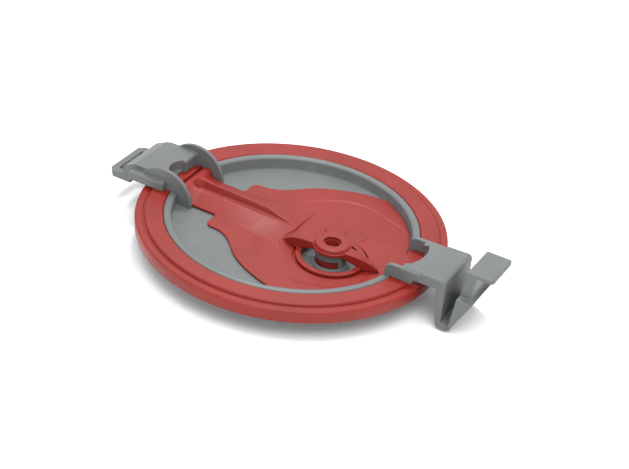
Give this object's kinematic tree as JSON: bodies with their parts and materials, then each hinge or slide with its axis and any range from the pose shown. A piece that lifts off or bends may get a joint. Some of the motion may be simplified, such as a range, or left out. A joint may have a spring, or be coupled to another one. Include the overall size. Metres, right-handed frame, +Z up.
{
  "type": "ice fishing tip-up",
  "caption": "Round insulated ice-hole cover whose flag paddle springs up from the dish when the line spool under its hub turns, with a strap bracket and a snap clip at the ends.",
  "frame": {"origin": "on the flat underside of the insulated plug, on the axis of the disc", "axes": "+Z up out of the dish; +X from the strap bracket to the snap clip, along the flag paddle; +Y to the left of that"},
  "size_m": [0.345, 0.254, 0.0566],
  "materials": {
    "red_plastic": "satin moulded plastic",
    "grey_plastic": "satin moulded plastic",
    "sleeve_plastic": "satin moulded plastic",
    "trip_plastic": "satin moulded plastic",
    "base_plastic": "satin moulded plastic",
    "spool_plastic": "satin moulded plastic",
    "foam": "closed-cell foam",
    "seal_rubber": "foam rubber",
    "bush_brass": "turned",
    "steel": "plated"
  },
  "bodies": {
    "cover": {"cover_ring": "red_plastic", "dish_tray": "grey_plastic", "foam_puck": "foam", "base_plate": "base_plastic", "base_screws": "steel", "ring_screws": "steel", "seal_ring": "seal_rubber", "spindle_sleeve": "sleeve_plastic", "shaft_bushing": "bush_brass", "line_guide": "steel", "left_bracket": "grey_plastic", "bracket_screws": "steel", "hinge_pin": "steel", "flag_spring": "steel", "clip_frame": "grey_plastic", "clip_screws": "steel", "lever_pin": "steel"},
    "flag": {"flag_paddle": "red_plastic"},
    "knob": {"trip_knob": "red_plastic", "knob_retainer": "red_plastic"},
    "spool": {"line_spool": "spool_plastic", "spool_washer": "steel", "spool_nut": "steel", "spool_shaft": "steel", "trip_drum": "trip_plastic", "trip_head": "trip_plastic"},
    "lever": {"clip_lever": "grey_plastic"}
  },
  "joints": [
    {"name": "flag_hinge", "type": "hinge", "parent": "cover", "child": "flag", "pos_m": [-0.095, 0, 0.0276], "axis": [0, -1, 0], "range_deg": [0, 95]},
    {"name": "knob_turn", "type": "hinge", "parent": "flag", "child": "knob", "pos_m": [0.0464, -0.019, 0.0276], "axis": [0, 0, 1], "range_deg": [0, 90]},
    {"name": "spool_spin", "type": "hinge", "parent": "cover", "child": "spool", "pos_m": [0.0464, -0.019, 0.01], "axis": [0, 0, 1], "continuous": true},
    {"name": "lever_flex", "type": "hinge", "parent": "cover", "child": "lever", "pos_m": [0.1512, 0, 0.0044], "axis": [0, -1, 0], "range_deg": [0, 12], "stiffness_Nm_per_rad": 0.6}
  ]
}
